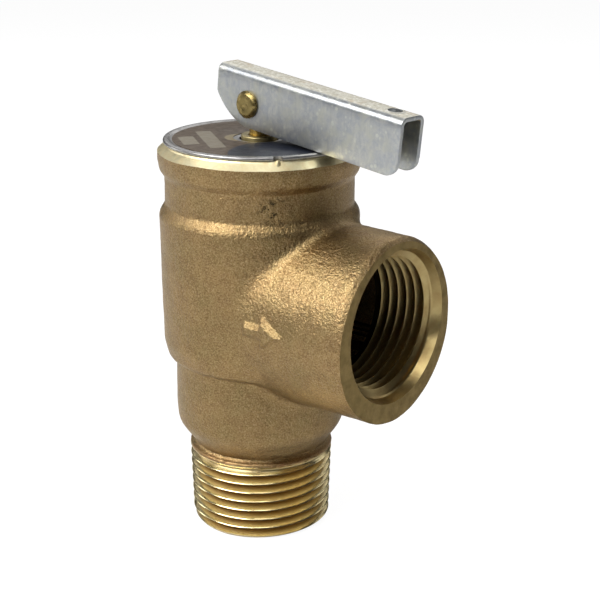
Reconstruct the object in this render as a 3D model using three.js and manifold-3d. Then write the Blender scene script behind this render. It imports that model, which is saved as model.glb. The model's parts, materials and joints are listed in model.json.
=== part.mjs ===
// A 3/4 inch pressure relief valve: a bronze angle body with a male inlet below and a female outlet
// at the side, a spring-loaded disc on an integral seat, a staked cap plate and a lifting lever.
// Millimetres, +Z up. The origin is the centre of the inlet's end face, and the outlet faces +X.
import * as THREE from "three";
import { mergeVertices } from "three/addons/utils/BufferGeometryUtils.js";
import Module from "manifold-3d";

const wasm = await Module();
wasm.setup();

// ---------------------------------------------------------------- driving dimensions
const PITCH = 1.814; // 14 threads per inch, tapered pipe thread
const TAPER = 1 / 32; // growth of a thread's radius along its axis
const THREAD_DEPTH = 1.45;
const THREAD_STEPS = 16; // segments in each turn, and round the cone that carries the thread

const SEAT_Z = 30; // top of the seat, where the disc closes
const BODY_TOP_Z = 72.75;
const GUIDE_R = 14.2; // bore that guides the disc holder
const TOP_BORE_R = 14.9; // threaded bore above the guide bore
const TOP_BORE_Z = 66;

const INLET_CREST_R = 13.01; // at the end face
const INLET_THREAD_TOP_Z = 14.2;
const INLET_BORE_R = 8.8;
const THROAT_R = 8.2;
const SEAT_LIP_R = 9;

const OUTLET_Z = 43.6; // axis of the cast boss
const OUTLET_FACE_X = 30.7;
const OUTLET_R = 16.54;
const BORE_OFFSET_Y = 0.35; // the machined socket is a little off the cast boss
const BORE_OFFSET_Z = 0.7;
const SOCKET_CREST_R = 11.9; // at the mouth
const SOCKET_MOUTH_R = 13.9;
const SOCKET_PLAIN_DEPTH = 2.3;
const SOCKET_THREAD_DEPTH = 12.5;

const STEM_R = 1.8;
const STEM_FIT = 0.2; // radial clearance of the stem in its holes
const FIT = 0.3; // clearance between other neighbours
const HOLDER_R = GUIDE_R - FIT;
const HOLDER_FLOOR_Z = 36;
const HOLDER_TOP_Z = 57;
const DISC_THICKNESS = 3;
const DISC_POCKET_R = 10.5;
const FLOOR_TOP_Z = HOLDER_FLOOR_Z + 3.2;

const WASHER_R = 10.4;
const WASHER_THICKNESS = 1.4;
const WASHER_PILOT_R = 6.9;
const SPRING_LOW_Z = FLOOR_TOP_Z + WASHER_THICKNESS;
const SPRING_HIGH_Z = 64.9;
const SPRING_MEAN_R = 8.6;
const WIRE_R = 1.2;
const ACTIVE_COILS = 5;
const DEAD_COILS = 1; // closed turns at each end

const SCREW_LOW_Z = SPRING_HIGH_Z + WASHER_THICKNESS;
const SCREW_TOP_Z = 70.5;
const SCREW_R = TOP_BORE_R - FIT;
const COLLAR_R = 3.3; // the screw's neck, which shows above the cap plate
const COLLAR_TOP_Z = 74.05;

const PLATE_R = 17.25;
const PLATE_FLOOR_Z = 73.35;
const PLATE_RIM_Z = 73.6;
const PLATE_INNER_R = 15.7; // where the raised rim meets the floor
const LABEL_INNER_R = 4.7; // a bare circle is left round the screw's neck
const LABEL_THICKNESS = 0.1;
const NOTCH_ANGLE = THREE.MathUtils.degToRad(-39.6);

const PIN_Z = 79.7;
const PIN_R = 0.95;
const LEVER_YAW = THREE.MathUtils.degToRad(-5); // where the lever points, from the outlet
const LEVER_DROOP = THREE.MathUtils.degToRad(6); // the free end hangs below the pin
const LEVER_WIDTH = 5.8;
const SHEET = 0.75;
const BEND_R = 1.4; // outside of the fold
const LEVER_TOP = 5.85; // above the pin
const LEVER_BOTTOM = -4.2;
const LEVER_HEEL = -7.93; // behind the pin
const LEVER_TOE = 34.57; // ahead of the pin
const LEVER_TOE_R = 2.7;
const PULL_HOLE_S = 30.7;
const PULL_HOLE_R = 1.4;
const RIVET_HEAD_R = 2.45;
const RIVET_HEAD_H = 0.9;

// ---------------------------------------------------------------- materials
const metal = (color, roughness) => new THREE.MeshStandardMaterial({ color, roughness, metalness: 1 });
const BRONZE = metal(0x8f7448, 0.5);
const BRASS = metal(0xc8a24a, 0.3);
const COATED = new THREE.MeshStandardMaterial({ color: 0x1c1c1d, roughness: 0.55, metalness: 0.1 });
const ZINC = metal(0xb4b6b8, 0.35);
const STEEL = metal(0x9a9a9c, 0.3);
const SPRING_STEEL = metal(0x77797c, 0.35);
const RUBBER = new THREE.MeshStandardMaterial({ color: 0x9c4a3a, roughness: 0.8, metalness: 0 });
const BLACK_RUBBER = new THREE.MeshStandardMaterial({ color: 0x151515, roughness: 0.8, metalness: 0 });
const FIBRE = new THREE.MeshStandardMaterial({ color: 0x5b6a60, roughness: 0.9, metalness: 0 });
const LABEL = new THREE.MeshStandardMaterial({ color: 0x4a3f35, roughness: 0.4, metalness: 0.3 });

// ---------------------------------------------------------------- solids
// A closed geometry as a manifold-3d solid.
function solid(geometry) {
  const bare = geometry.index ? geometry.toNonIndexed() : geometry.clone();
  bare.deleteAttribute("normal");
  bare.deleteAttribute("uv");
  const merged = mergeVertices(bare, 1e-4);
  return new wasm.Manifold(
    new wasm.Mesh({
      numProp: 3,
      vertProperties: merged.attributes.position.array,
      triVerts: new Uint32Array(merged.index.array),
    }),
  );
}

// A manifold-3d solid as a flat-shaded geometry.
function geometryOf(made) {
  const { vertProperties, triVerts } = made.getMesh();
  const shared = new THREE.BufferGeometry();
  shared.setAttribute("position", new THREE.BufferAttribute(vertProperties, 3));
  shared.setIndex(new THREE.BufferAttribute(triVerts, 1));
  const flat = shared.toNonIndexed();
  flat.computeVertexNormals();
  return flat;
}

// Turns an outline of (radius, height) about +Z. An open outline runs from axis to axis.
function turned(outline, segments = 32) {
  return new THREE.LatheGeometry(outline, segments).rotateX(Math.PI / 2);
}

function points(...pairs) {
  return pairs.map(([r, z]) => new THREE.Vector2(r, z));
}

// A solid round bar between two heights.
function bar(radius, low, high, segments = 32) {
  return turned(points([0, low], [radius, low], [radius, high], [0, high]), segments);
}

// A ring of rectangular section.
function ring(inner, outer, low, high, segments = 32) {
  return turned(points([inner, low], [outer, low], [outer, high], [inner, high], [inner, low]), segments);
}

// A round bar along +Y or -Y, through (x, z).
function crossBar(radius, x, z, from, to, segments = 20) {
  return bar(radius, from, to, segments).rotateX(Math.PI / 2).translate(x, 0, z);
}

// A right-handed helix about +Z whose section keeps its x outward and its y along the axis.
class Helix extends THREE.Curve {
  constructor(radiusAt, heightAt, turns) {
    super();
    this.radiusAt = radiusAt;
    this.heightAt = heightAt;
    this.turns = turns;
  }
  angle(t) {
    return 2 * Math.PI * this.turns * t;
  }
  getPoint(t, target = new THREE.Vector3()) {
    const r = this.radiusAt(t);
    return target.set(r * Math.cos(this.angle(t)), r * Math.sin(this.angle(t)), this.heightAt(t));
  }
  getPointAt(u, target) {
    return this.getPoint(u, target);
  }
  computeFrenetFrames(segments) {
    const frames = { tangents: [], normals: [], binormals: [] };
    for (let i = 0; i <= segments; i++) {
      const a = this.angle(i / segments);
      frames.tangents.push(new THREE.Vector3(-Math.sin(a), Math.cos(a), 0));
      frames.normals.push(new THREE.Vector3(Math.cos(a), Math.sin(a), 0));
      frames.binormals.push(new THREE.Vector3(0, 0, -1));
    }
    return frames;
  }
}

// The ridge of a tapered thread that rises from a cone of radius baseAt(z), and is depth high.
function threadRidge(baseAt, depth, low, high) {
  const turns = (high - low) / PITCH;
  const heightAt = (t) => low + (high - low) * t;
  const path = new Helix((t) => baseAt(heightAt(t)), heightAt, turns);
  const sunk = 0.15; // how far the ridge starts inside its cone
  const rootHalf = PITCH * 0.46;
  const section = new THREE.Shape(points([-sunk, -rootHalf], [depth, 0], [-sunk, rootHalf]));
  const steps = Math.round(turns * THREAD_STEPS);
  return new THREE.ExtrudeGeometry(section, { steps, extrudePath: path, bevelEnabled: false });
}

// ---------------------------------------------------------------- the body
// The outside of the casting above the inlet thread, with the machined chamfer at its top.
function castOutline() {
  const path = new THREE.Path();
  path.moveTo(0, INLET_THREAD_TOP_Z);
  path.lineTo(13.2, INLET_THREAD_TOP_Z);
  path.lineTo(13.4, 15);
  path.quadraticCurveTo(13.2, 15.5, 12.4, 16);
  path.lineTo(14.1, 18.7);
  path.quadraticCurveTo(15.3, 20.3, 15.7, 23.4);
  path.lineTo(15.72, 31.2);
  path.quadraticCurveTo(17.6, 32, 17.85, 37);
  path.lineTo(18.2, 59.4);
  path.quadraticCurveTo(18.1, 60.6, 17.55, 61.3);
  path.quadraticCurveTo(17.15, 61.8, 17.12, 62.6);
  path.lineTo(17.15, 66.5);
  path.quadraticCurveTo(17.3, 67.6, 17.95, 68.4);
  path.quadraticCurveTo(18.3, 68.9, 18.4, 70.4);
  path.lineTo(18.4, 71.3);
  path.lineTo(17.2, BODY_TOP_Z);
  path.lineTo(0, BODY_TOP_Z);
  return path.getPoints(2);
}

function inletThread() {
  const rootAt = (z) => INLET_CREST_R - THREAD_DEPTH + z * TAPER;
  const overrun = 1.2;
  const top = INLET_THREAD_TOP_Z + overrun;
  const core = solid(turned(points([0, 0], [rootAt(0), 0], [rootAt(top), top], [0, top]), THREAD_STEPS));
  const ridge = solid(threadRidge(rootAt, THREAD_DEPTH, -overrun, top));
  const envelope = turned(
    points([0, 0], [12.3, 0], [14, 2.1], [14, top], [0, top]),
  );
  return core.add(ridge).intersect(solid(envelope));
}

// The waterway, the annular chamber round the nozzle, the guide bore and the threaded top bore.
function cavity() {
  const below = -1;
  const above = BODY_TOP_Z + 1;
  return turned(
    points(
      [0, below],
      [INLET_BORE_R, below],
      [INLET_BORE_R, 23],
      [THROAT_R, 25],
      [THROAT_R, SEAT_Z],
      [SEAT_LIP_R, SEAT_Z],
      [9.6, 28.5],
      [10.3, 22.5],
      [12.2, 23],
      [12.9, 24.5],
      [12.9, 33.4],
      [GUIDE_R, 34.7],
      [GUIDE_R, TOP_BORE_Z],
      [TOP_BORE_R, TOP_BORE_Z + 0.7],
      [TOP_BORE_R, above],
      [0, above],
    ),
  );
}

// The outlet's socket, as the solid that is cut away: plain mouth, tapered thread and bore.
function outletSocket() {
  const reach = OUTLET_FACE_X - 6;
  const crestAt = (depth) => SOCKET_CREST_R - depth * TAPER;
  const plain = SOCKET_MOUTH_R - 0.45;
  const shoulder = SOCKET_PLAIN_DEPTH + plain - crestAt(SOCKET_PLAIN_DEPTH);
  // Heights run along +Z from inside the body to the mouth, and the whole is then laid along +X.
  const face = reach;
  const bore = solid(
    turned(
      points(
        [0, 0],
        [crestAt(reach) - 0.2, 0],
        [crestAt(SOCKET_THREAD_DEPTH), face - SOCKET_THREAD_DEPTH],
        [crestAt(shoulder), face - shoulder],
        [plain, face - SOCKET_PLAIN_DEPTH],
        [plain, face - 0.45],
        [SOCKET_MOUTH_R, face],
        [SOCKET_MOUTH_R, face + 1],
        [0, face + 1],
      ),
      THREAD_STEPS,
    ),
  );
  const grooveBase = (z) => crestAt(face - z);
  const groove = solid(
    threadRidge(grooveBase, THREAD_DEPTH, face - SOCKET_THREAD_DEPTH, face - SOCKET_PLAIN_DEPTH),
  );
  return bore
    .add(groove)
    .rotate([0, 90, 0])
    .translate([OUTLET_FACE_X - reach, BORE_OFFSET_Y, OUTLET_Z + BORE_OFFSET_Z]);
}

// A raised flow arrow cast on the side of the outlet boss.
function flowArrow() {
  const proud = 0.5;
  const root = 1.5;
  const shaftHalf = 0.8;
  const headHalf = 1.9;
  const neck = 3.6;
  const tip = 7.4;
  const arrow = new THREE.Shape(
    points(
      [0, -shaftHalf],
      [neck, -shaftHalf],
      [neck, -headHalf],
      [tip, 0],
      [neck, headHalf],
      [neck, shaftHalf],
      [0, shaftHalf],
    ),
  );
  const plate = new THREE.ExtrudeGeometry(arrow, { depth: proud + root, bevelEnabled: false });
  return plate.rotateX(Math.PI / 2).translate(10.5, -(OUTLET_R - root), OUTLET_Z);
}

function valveBody() {
  const boss = solid(bar(OUTLET_R, 0, OUTLET_FACE_X)).rotate([0, 90, 0]).translate([0, 0, OUTLET_Z]);
  const made = solid(turned(castOutline()))
    .add(boss)
    .add(inletThread())
    .add(solid(flowArrow()))
    .subtract(solid(cavity()))
    .subtract(outletSocket());
  return geometryOf(made);
}

// ---------------------------------------------------------------- the disc and its holder
function valveDisc() {
  const outer = DISC_POCKET_R - 0.2;
  const face = 9.8; // the radius that shows through the retaining ring
  const step = SEAT_Z + 1;
  const back = SEAT_Z + DISC_THICKNESS;
  return turned(points([0, SEAT_Z], [face, SEAT_Z], [face, step], [outer, step], [outer, back], [0, back]));
}

function discHolder() {
  const lip = 11.6;
  const lipZ = SEAT_Z + 0.2;
  const pocketTop = SEAT_Z + DISC_THICKNESS + 0.6;
  const groove = DISC_POCKET_R + 0.5;
  const skirtInner = HOLDER_R - 1.4;
  const headRecess = 4.2;
  return turned(
    points(
      [STEM_R + STEM_FIT, HOLDER_FLOOR_Z],
      [headRecess, HOLDER_FLOOR_Z],
      [headRecess, pocketTop],
      [DISC_POCKET_R, pocketTop],
      [DISC_POCKET_R, SEAT_Z + 1],
      [groove, SEAT_Z + 1],
      [groove, SEAT_Z + 0.35],
      [DISC_POCKET_R, SEAT_Z + 0.35],
      [DISC_POCKET_R, lipZ],
      [lip, lipZ],
      [lip, HOLDER_FLOOR_Z - 1],
      [HOLDER_R, HOLDER_FLOOR_Z],
      [HOLDER_R, HOLDER_TOP_Z],
      [skirtInner, HOLDER_TOP_Z],
      [skirtInner, FLOOR_TOP_Z],
      [STEM_R + STEM_FIT, FLOOR_TOP_Z],
      [STEM_R + STEM_FIT, HOLDER_FLOOR_Z],
    ),
  );
}

// A snap ring with a gap between its ends.
function snapRing(inner, outer, low, high, gap) {
  const whole = solid(ring(inner, outer, low, high));
  const cut = new THREE.BoxGeometry(outer, gap, high - low + 2).translate(outer * 0.75, 0, (low + high) / 2);
  return geometryOf(whole.subtract(solid(cut)));
}

// ---------------------------------------------------------------- the spring and its seats
// A spring seat: a washer with a pilot that centres the coil. side is +1 where the pilot points up.
function springWasher(faceZ, side) {
  const pilotHeight = 1.4;
  const back = faceZ - side * WASHER_THICKNESS;
  const tip = faceZ + side * pilotHeight;
  const hole = STEM_R + 0.6;
  const outline = points(
    [hole, back],
    [WASHER_R, back],
    [WASHER_R, faceZ],
    [WASHER_PILOT_R, faceZ],
    [WASHER_PILOT_R - 0.4, tip],
    [hole, tip],
    [hole, back],
  );
  return turned(side > 0 ? outline : outline.reverse());
}

function spring() {
  const stepsPerTurn = 16;
  const sides = 6;
  const turns = ACTIVE_COILS + 2 * DEAD_COILS;
  const low = SPRING_LOW_Z + WIRE_R * 0.5;
  const high = SPRING_HIGH_Z - WIRE_R * 0.5;
  const closed = 2 * WIRE_R + 0.1; // rise of a dead turn
  const rise = (high - low - 2 * DEAD_COILS * closed) / ACTIVE_COILS;
  const heightAt = (t) => {
    const n = t * turns;
    if (n < DEAD_COILS) return low + n * closed;
    if (n > turns - DEAD_COILS) return high - (turns - n) * closed;
    return low + DEAD_COILS * closed + (n - DEAD_COILS) * rise;
  };
  const circle = new THREE.Path().absarc(0, 0, WIRE_R, 0, 2 * Math.PI);
  const section = new THREE.Shape(circle.getSpacedPoints(sides).slice(0, sides));
  const coil = new THREE.ExtrudeGeometry(section, {
    steps: turns * stepsPerTurn,
    extrudePath: new Helix(() => SPRING_MEAN_R, heightAt, turns),
    bevelEnabled: false,
  });
  const ground = solid(bar(2 * SPRING_MEAN_R, SPRING_LOW_Z, SPRING_HIGH_Z, 12));
  return geometryOf(solid(coil).intersect(ground));
}

// ---------------------------------------------------------------- the top of the valve
function stem() {
  const headLow = HOLDER_FLOOR_Z - 2.1;
  const headHigh = HOLDER_FLOOR_Z - 0.3;
  const grooveLow = SPRING_LOW_Z + 1.8;
  const grooveHigh = grooveLow + 0.7;
  const top = PIN_Z + 2.1;
  const rod = turned(
    points(
      [0, headLow],
      [3.6, headLow],
      [3.6, headHigh],
      [STEM_R, headHigh],
      [STEM_R, grooveLow],
      [1.35, grooveLow],
      [1.35, grooveHigh],
      [STEM_R, grooveHigh],
      [STEM_R, top - 0.5],
      [STEM_R - 0.5, top],
      [0, top],
    ),
    24,
  );
  const eye = crossBar(PIN_R + 0.15, 0, PIN_Z, -4, 4);
  return geometryOf(solid(rod).subtract(solid(eye)).rotate([0, 0, THREE.MathUtils.radToDeg(LEVER_YAW)]));
}

function compressionScrew() {
  const grooveR = 3.3;
  const hole = STEM_R + STEM_FIT;
  const chamfer = 0.5;
  const made = solid(
    turned(
      points(
        [hole, SCREW_LOW_Z],
        [SCREW_R - chamfer, SCREW_LOW_Z],
        [SCREW_R, SCREW_LOW_Z + chamfer],
        [SCREW_R, SCREW_TOP_Z],
        [COLLAR_R + 1.2, SCREW_TOP_Z],
        [COLLAR_R, SCREW_TOP_Z + 0.8],
        [COLLAR_R, COLLAR_TOP_Z - 0.25],
        [COLLAR_R - 0.25, COLLAR_TOP_Z],
        [hole, COLLAR_TOP_Z],
        [hole, 69.8],
        [grooveR, 69.8],
        [grooveR, 68.2],
        [hole, 68.2],
        [hole, SCREW_LOW_Z],
      ),
    ),
  );
  const spannerR = 1.25;
  const spannerAt = 7.5;
  const spannerHole = (side) =>
    solid(bar(spannerR, SCREW_TOP_Z - 2.5, SCREW_TOP_Z + 1, 20)).translate([side * spannerAt, 0, 0]);
  return geometryOf(made.subtract(spannerHole(1)).subtract(spannerHole(-1)));
}

function oRing() {
  const section = 0.65;
  const middle = STEM_R + 0.1 + section;
  return new THREE.TorusGeometry(middle, section, 8, 24).translate(0, 0, 69);
}

function lockRing() {
  const low = SCREW_TOP_Z;
  const high = low + 1;
  const slot = new THREE.BoxGeometry(3 * SCREW_R, 2, 4).translate(0, 0, high + 1.5);
  return geometryOf(solid(ring(10.5, SCREW_R, low, high)).subtract(solid(slot)));
}

// The stamped cap: a flat floor inside a rounded, raised rim with one staking notch.
function capPlate() {
  const under = BODY_TOP_Z;
  const outline = new THREE.Path();
  const hole = COLLAR_R + FIT;
  outline.moveTo(hole, under);
  outline.lineTo(PLATE_R - 0.1, under);
  outline.lineTo(PLATE_R, under + 0.35);
  outline.quadraticCurveTo(PLATE_R, PLATE_RIM_Z, PLATE_R - 0.6, PLATE_RIM_Z);
  outline.lineTo(PLATE_INNER_R + 0.4, PLATE_RIM_Z);
  outline.lineTo(PLATE_INNER_R, PLATE_FLOOR_Z);
  outline.lineTo(hole, PLATE_FLOOR_Z);
  outline.lineTo(hole, under);
  const notchAt = PLATE_R + 0.3;
  const notch = bar(1, under - 1, PLATE_RIM_Z + 1, 20).translate(
    notchAt * Math.cos(NOTCH_ANGLE),
    notchAt * Math.sin(NOTCH_ANGLE),
    0,
  );
  return geometryOf(solid(turned(outline.getPoints(2), 36)).subtract(solid(notch)));
}

// ---------------------------------------------------------------- the lever
// The lever's own frame has the pin at its origin, +X towards the free end and +Z up.
function leverSide() {
  const side = new THREE.Shape();
  side.moveTo(LEVER_HEEL, LEVER_TOP);
  side.lineTo(LEVER_HEEL, 0.8);
  side.quadraticCurveTo(-4.9, -3.25, -0.5, LEVER_BOTTOM);
  side.lineTo(LEVER_TOE - LEVER_TOE_R, LEVER_BOTTOM);
  side.quadraticCurveTo(LEVER_TOE, LEVER_BOTTOM, LEVER_TOE, LEVER_BOTTOM + LEVER_TOE_R);
  side.lineTo(LEVER_TOE, LEVER_TOP);
  side.closePath();
  return side;
}

function leverSection() {
  const half = LEVER_WIDTH / 2;
  const inner = half - SHEET;
  const innerR = BEND_R - SHEET;
  const section = new THREE.Shape();
  section.moveTo(-half, LEVER_BOTTOM - 1);
  section.lineTo(-inner, LEVER_BOTTOM - 1);
  section.lineTo(-inner, LEVER_TOP - BEND_R);
  section.absarc(-half + BEND_R, LEVER_TOP - BEND_R, innerR, Math.PI, Math.PI / 2, true);
  section.absarc(half - BEND_R, LEVER_TOP - BEND_R, innerR, Math.PI / 2, 0, true);
  section.lineTo(inner, LEVER_BOTTOM - 1);
  section.lineTo(half, LEVER_BOTTOM - 1);
  section.lineTo(half, LEVER_TOP - BEND_R);
  section.absarc(half - BEND_R, LEVER_TOP - BEND_R, BEND_R, 0, Math.PI / 2, false);
  section.absarc(-half + BEND_R, LEVER_TOP - BEND_R, BEND_R, Math.PI / 2, Math.PI, false);
  section.closePath();
  return section;
}

function leverChannel() {
  const curveSegments = 5;
  const overrun = 2;
  const length = LEVER_TOE - LEVER_HEEL + 2 * overrun;
  const folded = new THREE.ExtrudeGeometry(leverSection(), {
    depth: length,
    bevelEnabled: false,
    curveSegments,
  })
    .rotateX(Math.PI / 2)
    .rotateZ(Math.PI / 2)
    .translate(LEVER_HEEL - overrun, 0, 0);
  const blank = new THREE.ExtrudeGeometry(leverSide(), {
    depth: 2 * LEVER_WIDTH,
    bevelEnabled: false,
    curveSegments: 6,
  })
    .rotateX(Math.PI / 2)
    .translate(0, LEVER_WIDTH, 0);
  const rivetHole = crossBar(PIN_R + FIT / 2, 0, 0, -LEVER_WIDTH, LEVER_WIDTH);
  const pullHole = bar(PULL_HOLE_R, LEVER_TOP - 2, LEVER_TOP + 1, 24).translate(PULL_HOLE_S, 0, 0);
  const trimmed = solid(folded).intersect(solid(blank));
  return geometryOf(trimmed.subtract(solid(rivetHole)).subtract(solid(pullHole)));
}

// The rivet lies along the lever's -Y, with its factory head on the -Y side.
function rivet() {
  const half = LEVER_WIDTH / 2;
  const gap = 0.05;
  const headAt = half + gap;
  const tailAt = -half - gap - 0.6 - gap;
  const outline = new THREE.Path();
  outline.moveTo(0, tailAt - 0.8);
  outline.lineTo(1.2, tailAt - 0.8);
  outline.lineTo(1.6, tailAt);
  outline.lineTo(PIN_R, tailAt);
  outline.lineTo(PIN_R, headAt);
  outline.lineTo(RIVET_HEAD_R, headAt);
  outline.lineTo(RIVET_HEAD_R, headAt + RIVET_HEAD_H - 0.5);
  outline.quadraticCurveTo(RIVET_HEAD_R, headAt + RIVET_HEAD_H, RIVET_HEAD_R - 0.7, headAt + RIVET_HEAD_H);
  outline.lineTo(0, headAt + RIVET_HEAD_H);
  return turned(outline.getPoints(2), 24).rotateX(Math.PI / 2);
}

function rivetWasher() {
  const half = LEVER_WIDTH / 2;
  return ring(PIN_R + FIT / 2, 2, -half - 0.65, -half - 0.05, 24).rotateX(Math.PI / 2);
}

// ---------------------------------------------------------------- the assembly
function named(name, geometry, material) {
  const mesh = new THREE.Mesh(geometry, material);
  mesh.name = name;
  return mesh;
}

const valve = new THREE.Group();
const ringLow = SEAT_Z + 0.4;
const ringHigh = SEAT_Z + 0.95;
const backingLow = SEAT_Z + DISC_THICKNESS;
const clipLow = SPRING_LOW_Z + 1.9;
const labelOuterR = PLATE_INNER_R - 0.1;
const labelTopZ = PLATE_FLOOR_Z + LABEL_THICKNESS;
valve.add(
  named("valve_body", valveBody(), BRONZE),
  named("valve_disc", valveDisc(), RUBBER),
  named("disc_retaining_ring", snapRing(9.95, DISC_POCKET_R + 0.4, ringLow, ringHigh, 3), STEEL),
  named("disc_backing_washer", bar(DISC_POCKET_R - 0.2, backingLow, backingLow + 0.55), STEEL),
  named("disc_holder", discHolder(), COATED),
  named("lower_spring_washer", springWasher(SPRING_LOW_Z, 1), STEEL),
  named("spring", spring(), SPRING_STEEL),
  named("upper_spring_washer", springWasher(SPRING_HIGH_Z, -1), STEEL),
  named("stem", stem(), BRASS),
  named("stem_clip", snapRing(1.5, 3.4, clipLow, clipLow + 0.5, 1.8), STEEL),
  named("compression_screw", compressionScrew(), BRASS),
  named("stem_o_ring", oRing(), BLACK_RUBBER),
  named("lock_ring", lockRing(), BRASS),
  named("cap_gasket", ring(COLLAR_R + 0.7, TOP_BORE_R - 0.3, BODY_TOP_Z - 0.9, BODY_TOP_Z - 0.1), FIBRE),
  named("cap_plate", capPlate(), STEEL),
  named("cap_label", ring(LABEL_INNER_R, labelOuterR, PLATE_FLOOR_Z, labelTopZ), LABEL),
);

const lever = new THREE.Group();
lever.position.set(0, 0, PIN_Z);
lever.rotation.set(0, LEVER_DROOP, LEVER_YAW, "ZYX");
lever.add(
  named("lever", leverChannel(), ZINC),
  named("lever_rivet", rivet(), BRASS),
  named("rivet_washer", rivetWasher(), BRASS),
);
valve.add(lever);

export default valve;
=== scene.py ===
import json
import math

import bmesh
import bpy
import numpy as np
from mathutils import Matrix, Vector, noise


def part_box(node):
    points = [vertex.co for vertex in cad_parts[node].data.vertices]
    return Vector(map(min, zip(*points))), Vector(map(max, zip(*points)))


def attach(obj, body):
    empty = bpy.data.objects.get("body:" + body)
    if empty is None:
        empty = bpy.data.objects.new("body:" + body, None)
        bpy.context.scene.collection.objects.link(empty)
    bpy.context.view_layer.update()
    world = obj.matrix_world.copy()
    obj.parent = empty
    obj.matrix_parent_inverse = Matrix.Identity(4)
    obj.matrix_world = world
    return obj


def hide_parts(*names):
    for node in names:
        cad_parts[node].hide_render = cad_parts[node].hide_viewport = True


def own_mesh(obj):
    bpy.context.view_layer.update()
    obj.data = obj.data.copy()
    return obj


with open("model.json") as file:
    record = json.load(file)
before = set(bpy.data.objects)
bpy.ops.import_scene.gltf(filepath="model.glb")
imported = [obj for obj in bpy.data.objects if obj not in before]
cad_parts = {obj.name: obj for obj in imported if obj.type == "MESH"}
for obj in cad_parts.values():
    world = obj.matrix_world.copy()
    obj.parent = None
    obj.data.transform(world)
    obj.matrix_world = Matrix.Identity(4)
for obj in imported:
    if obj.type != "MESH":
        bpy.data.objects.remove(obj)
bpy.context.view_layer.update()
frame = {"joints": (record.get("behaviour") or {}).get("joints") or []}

# A 3/4 inch bronze pressure relief valve. Lengths named here are millimetres, in the frame of the CAD part:
# the origin is the centre of the inlet's end face, +Z runs up the stem and +X out of the outlet.
MM = 0.001
PITCH = 1.814
TAPER = 1 / 32
THREAD_DEPTH = 1.45
INLET_CREST = 13.01

BODY_TOP = 72.77
RIM_R = 18.38
OUTLET_Z = 43.6
OUTLET_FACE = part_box("valve_body")[1].x / MM
OUTLET_R = 16.54
BORE_Y, BORE_Z = 0.35, 44.3
NOTCH_ANGLE = -39.6
ARROW_Z = 44.1
VOXEL = 0.36
FILLET = 1.7
CAP_FACE = 73.35
CAP_EDGE = 192
PIN_HOLE_R = 1.1

JOINTS = {joint["name"]: joint for joint in frame["joints"]}
PIVOT = Vector(JOINTS["lever_pivot"]["pos_m"]) / MM
PIVOT_AXIS = Vector(JOINTS["lever_pivot"]["axis"])
LEVER_YAW = math.atan2(PIVOT_AXIS.x, -PIVOT_AXIS.y)
LEVER_DROOP = math.radians(6)


# ---------------------------------------------------------------- outlines
def outline(*corners, steps=5):
    """Points (r, z) through corners given as (r, z) or (r, z, rounding radius)."""
    made = []
    for i, corner in enumerate(corners):
        here = Vector(corner[:2])
        radius = corner[2] if len(corner) > 2 else 0
        if not radius:
            made.append(here)
            continue
        before = (Vector(corners[i - 1][:2]) - here).normalized()
        after = (Vector(corners[(i + 1) % len(corners)][:2]) - here).normalized()
        half = before.angle(after) / 2
        reach = radius / math.tan(half)
        centre = here + (before + after).normalized() * (radius / math.sin(half))
        start, end = here + before * reach - centre, here + after * reach - centre
        sweep = start.angle_signed(end)
        for k in range(steps + 1):
            turn = Matrix.Rotation(-sweep * k / steps, 2)
            made.append(centre + turn @ start)
    return made


def signed_distance(points, r, z):
    """Distance from each (r, z) to a closed outline, negative inside."""
    loop = np.array([tuple(p) for p in points])
    ahead = np.roll(loop, -1, axis=0)
    nearest = np.full(r.shape, 1e9)
    inside = np.zeros(r.shape, bool)
    for (ax, ay), (bx, by) in zip(loop, ahead):
        ex, ey = bx - ax, by - ay
        length = ex * ex + ey * ey
        if length < 1e-12:
            continue
        t = np.clip(((r - ax) * ex + (z - ay) * ey) / length, 0, 1)
        nearest = np.minimum(nearest, (r - ax - t * ex) ** 2 + (z - ay - t * ey) ** 2)
        crosses = (ay > z) != (by > z)
        if ay != by:
            inside ^= crosses & (r < ex * (z - ay) / ey + ax)
    return np.sqrt(nearest) * np.where(inside, -1, 1)


# ---------------------------------------------------------------- meshes
def add_object(name, vertices, faces):
    """A mesh object in the row frame from vertices in millimetres, facing out."""
    mesh = bpy.data.meshes.new(name)
    mesh.from_pydata([Vector(v) * MM for v in vertices], [], faces)
    made = bmesh.new()
    made.from_mesh(mesh)
    bmesh.ops.remove_doubles(made, verts=made.verts, dist=1e-7)
    bmesh.ops.recalc_face_normals(made, faces=made.faces)
    made.to_mesh(mesh)
    made.free()
    piece = bpy.data.objects.new(name, mesh)
    bpy.context.scene.collection.objects.link(piece)
    return piece


def turned(name, points, segments=128):
    """A solid of revolution about +Z, whose outline closes on itself."""
    angles = [2 * math.pi * j / segments for j in range(segments)]
    vertices = [(p[0] * math.cos(a), p[0] * math.sin(a), p[1]) for p in points for a in angles]
    faces = []
    count = len(points)
    for i in range(count):
        low, high = i * segments, (i + 1) % count * segments
        for j in range(segments):
            k = (j + 1) % segments
            faces.append((low + j, low + k, high + k, high + j))
    return add_object(name, vertices, faces)


def boolean(target, tool, operation):
    """Cuts or joins target with tool, which is used up."""
    modifier = target.modifiers.new("boolean", "BOOLEAN")
    modifier.solver = "MANIFOLD"
    modifier.operation = operation
    modifier.object = tool
    apply_modifiers(target)
    bpy.data.objects.remove(tool)
    return target


def apply_modifiers(piece):
    graph = bpy.context.evaluated_depsgraph_get()
    mesh = bpy.data.meshes.new_from_object(piece.evaluated_get(graph))
    piece.modifiers.clear()
    piece.data = mesh
    return piece


def moved(piece, matrix):
    """Moves a piece's mesh by a matrix whose translation is in millimetres."""
    scaled = matrix.copy()
    scaled.translation = matrix.translation * MM
    piece.data.transform(scaled)
    return piece


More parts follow.
